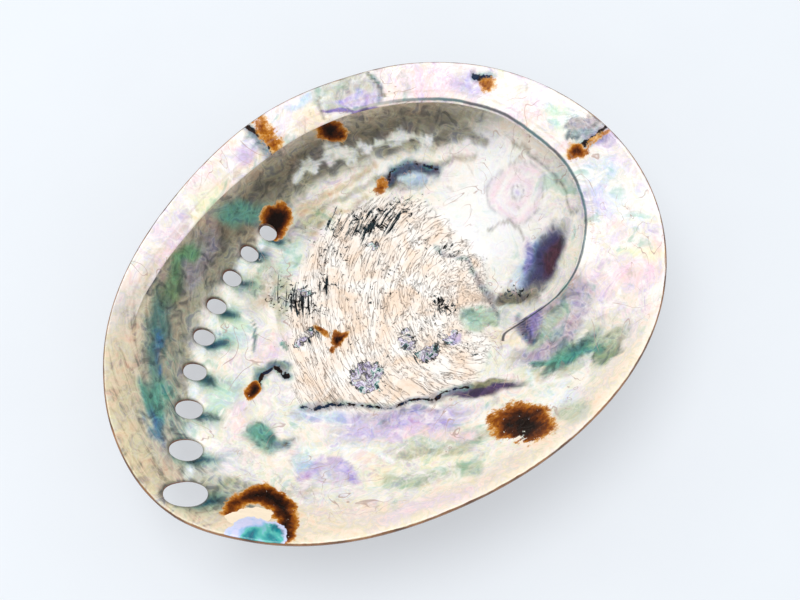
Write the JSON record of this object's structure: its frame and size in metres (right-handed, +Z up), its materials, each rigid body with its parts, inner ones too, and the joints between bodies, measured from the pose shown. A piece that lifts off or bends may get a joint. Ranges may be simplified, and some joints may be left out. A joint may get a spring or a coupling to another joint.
{
  "type": "abalone shell",
  "caption": "Oval ear-shaped sea shell lying on its back: a pearly bowl with a sloping inner shelf, a coiled pocket at one end and a curved row of open holes.",
  "frame": {"origin": "on the resting surface, under the middle of the rim's oval", "axes": "+Z up out of the mouth, +X along the shell to its spire end, +Y to the side with the shelf and the row of holes"},
  "size_m": [0.1766, 0.1356, 0.0471],
  "materials": {
    "nacre": "polished mother of pearl: cream and silver with pale pink, green and violet lustre, dark amber stains; the back is brown-red crust"
  },
  "bodies": {
    "root": {"shell": "nacre"}
  },
  "joints": []
}
